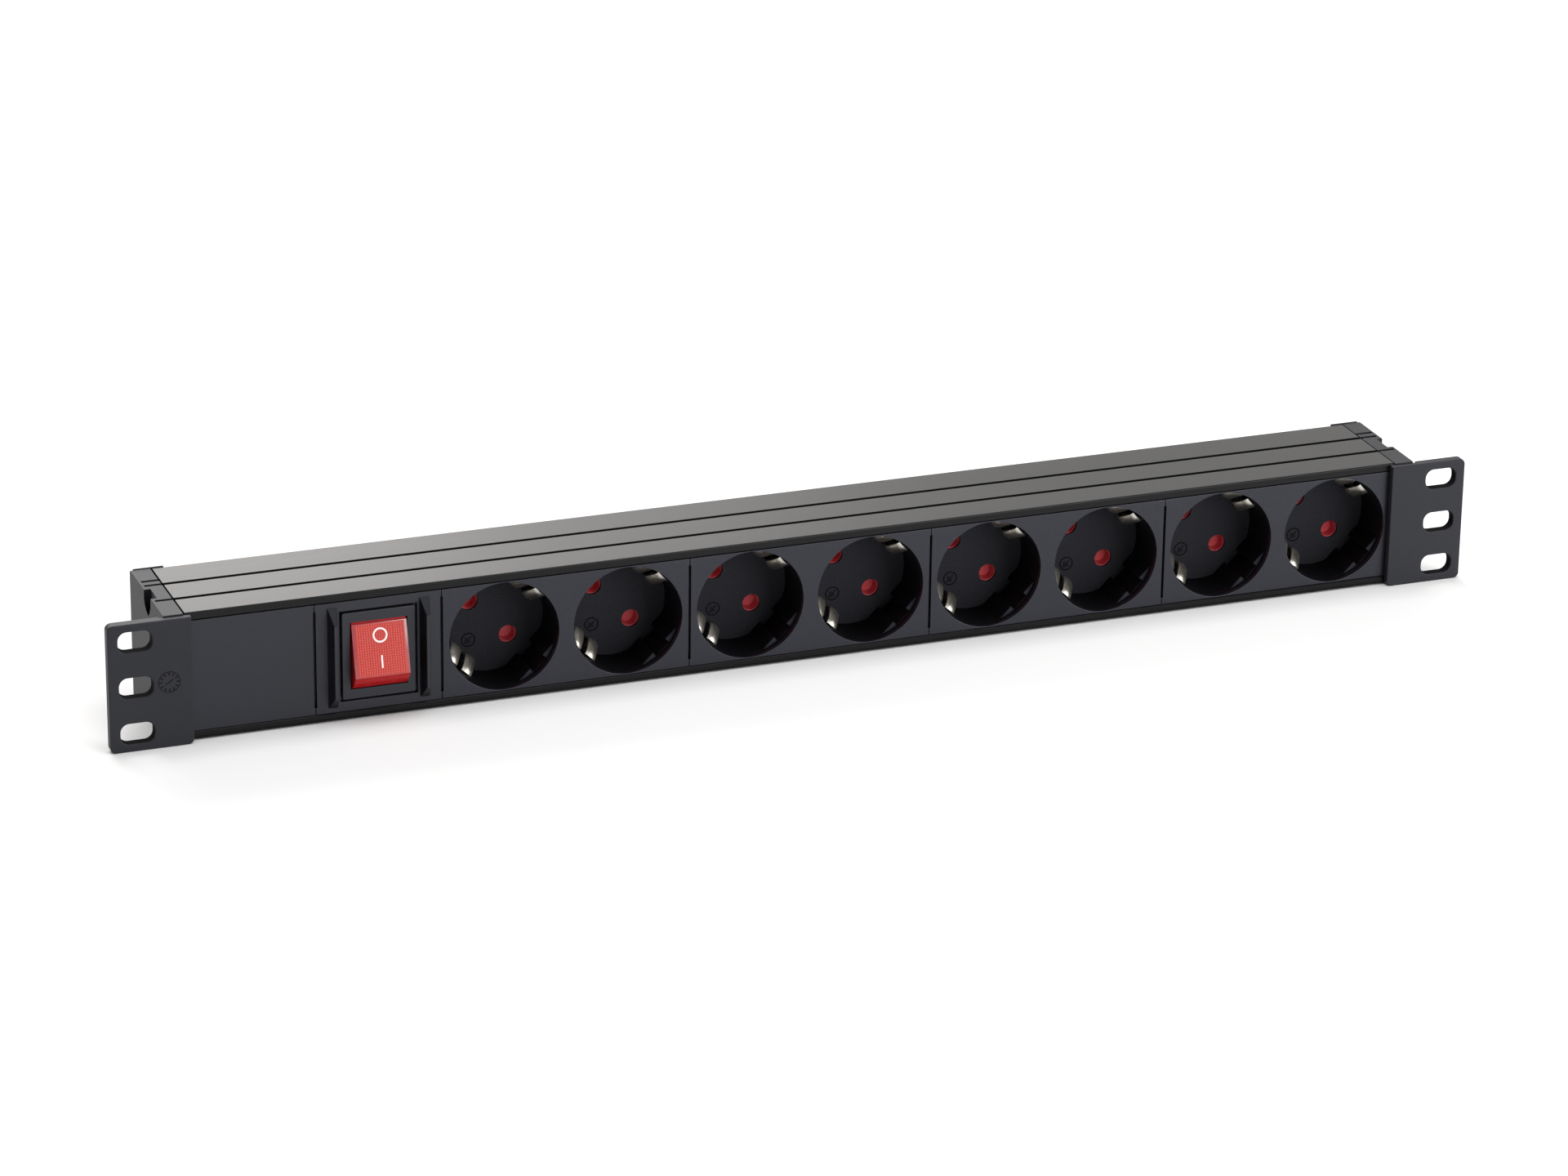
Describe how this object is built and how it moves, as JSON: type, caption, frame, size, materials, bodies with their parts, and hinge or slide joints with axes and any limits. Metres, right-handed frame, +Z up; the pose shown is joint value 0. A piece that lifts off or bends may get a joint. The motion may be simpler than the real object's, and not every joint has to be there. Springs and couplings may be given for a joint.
{
  "type": "rack power strip",
  "caption": "Rack-mounting power strip: black channel with slotted end ears, a lit red rocker switch and a row of shuttered round earthed sockets.",
  "frame": {"origin": "middle of the bottom of the strip's bounding box", "axes": "+X along the strip to its plain end, -Y out of the socket faces, +Z up"},
  "size_m": [0.4826, 0.047, 0.045],
  "materials": {
    "channel": "black satin anodised",
    "caps": "fine moulded texture",
    "plates": "fine moulded texture",
    "switch": "satin",
    "rocker": "translucent red, smooth",
    "lens": "clear red with a dotted face",
    "lamp": "clear",
    "terminals": "tinned",
    "sockets": "fine moulded texture",
    "trays": "plain",
    "shutters": "plain moulded",
    "clips": "bright nickel plate",
    "bars": "bare brass",
    "bush": "plain",
    "screw": "zinc plated",
    "live_leads": "brown insulation",
    "neutral_leads": "blue insulation",
    "earth_lead": "green and yellow insulation"
  },
  "bodies": {
    "strip": {"profile": "channel", "left_end_cap": "caps", "right_end_cap": "caps", "blank_plate": "plates", "switch_frame": "plates", "switch_housing": "switch", "neon_lamp": "lamp", "earth_busbar": "bars", "live_busbar": "bars", "neutral_busbar": "bars", "cable_bush": "bush", "bush_nut": "bush", "earth_screw": "screw", "live_feed_lead": "live_leads", "live_out_lead": "live_leads", "neutral_feed_lead": "neutral_leads", "neutral_out_lead": "neutral_leads", "earth_lead": "earth_lead", "switch_terminal_1": "terminals", "socket_face_1": "sockets", "socket_base_1": "trays", "switch_terminal_2": "terminals", "socket_face_2": "sockets", "socket_base_2": "trays", "switch_terminal_3": "terminals", "socket_face_3": "sockets", "socket_base_3": "trays", "switch_terminal_4": "terminals", "socket_face_4": "sockets", "socket_base_4": "trays", "earth_clip_1": "clips", "earth_clip_2": "clips", "earth_clip_3": "clips", "earth_clip_4": "clips", "earth_clip_5": "clips", "earth_clip_6": "clips", "earth_clip_7": "clips", "earth_clip_8": "clips"},
    "rocker": {"rocker": "rocker", "rocker_lens": "lens"},
    "shutter_1": {"shutter_1": "shutters"},
    "shutter_2": {"shutter_2": "shutters"},
    "shutter_3": {"shutter_3": "shutters"},
    "shutter_4": {"shutter_4": "shutters"},
    "shutter_5": {"shutter_5": "shutters"},
    "shutter_6": {"shutter_6": "shutters"},
    "shutter_7": {"shutter_7": "shutters"},
    "shutter_8": {"shutter_8": "shutters"}
  },
  "joints": [
    {"name": "rocker_tilt", "type": "hinge", "parent": "strip", "child": "rocker", "pos_m": [-0.1505, -0.01155, 0.0225], "axis": [1, 0, 0], "range_deg": [0, 23]},
    {"name": "shutter_turn_1", "type": "hinge", "parent": "strip", "child": "shutter_1", "pos_m": [-0.1075, -0.0003, 0.0225], "axis": [0, 1, 0], "range_deg": [0, 40], "stiffness_Nm_per_rad": 0.004},
    {"name": "shutter_turn_2", "type": "hinge", "parent": "strip", "child": "shutter_2", "pos_m": [-0.0645, -0.0003, 0.0225], "axis": [0, 1, 0], "range_deg": [0, 40], "stiffness_Nm_per_rad": 0.004},
    {"name": "shutter_turn_3", "type": "hinge", "parent": "strip", "child": "shutter_3", "pos_m": [-0.0215, -0.0003, 0.0225], "axis": [0, 1, 0], "range_deg": [0, 40], "stiffness_Nm_per_rad": 0.004},
    {"name": "shutter_turn_4", "type": "hinge", "parent": "strip", "child": "shutter_4", "pos_m": [0.0215, -0.0003, 0.0225], "axis": [0, 1, 0], "range_deg": [0, 40], "stiffness_Nm_per_rad": 0.004},
    {"name": "shutter_turn_5", "type": "hinge", "parent": "strip", "child": "shutter_5", "pos_m": [0.0645, -0.0003, 0.0225], "axis": [0, 1, 0], "range_deg": [0, 40], "stiffness_Nm_per_rad": 0.004},
    {"name": "shutter_turn_6", "type": "hinge", "parent": "strip", "child": "shutter_6", "pos_m": [0.1075, -0.0003, 0.0225], "axis": [0, 1, 0], "range_deg": [0, 40], "stiffness_Nm_per_rad": 0.004},
    {"name": "shutter_turn_7", "type": "hinge", "parent": "strip", "child": "shutter_7", "pos_m": [0.1505, -0.0003, 0.0225], "axis": [0, 1, 0], "range_deg": [0, 40], "stiffness_Nm_per_rad": 0.004},
    {"name": "shutter_turn_8", "type": "hinge", "parent": "strip", "child": "shutter_8", "pos_m": [0.1935, -0.0003, 0.0225], "axis": [0, 1, 0], "range_deg": [0, 40], "stiffness_Nm_per_rad": 0.004}
  ]
}
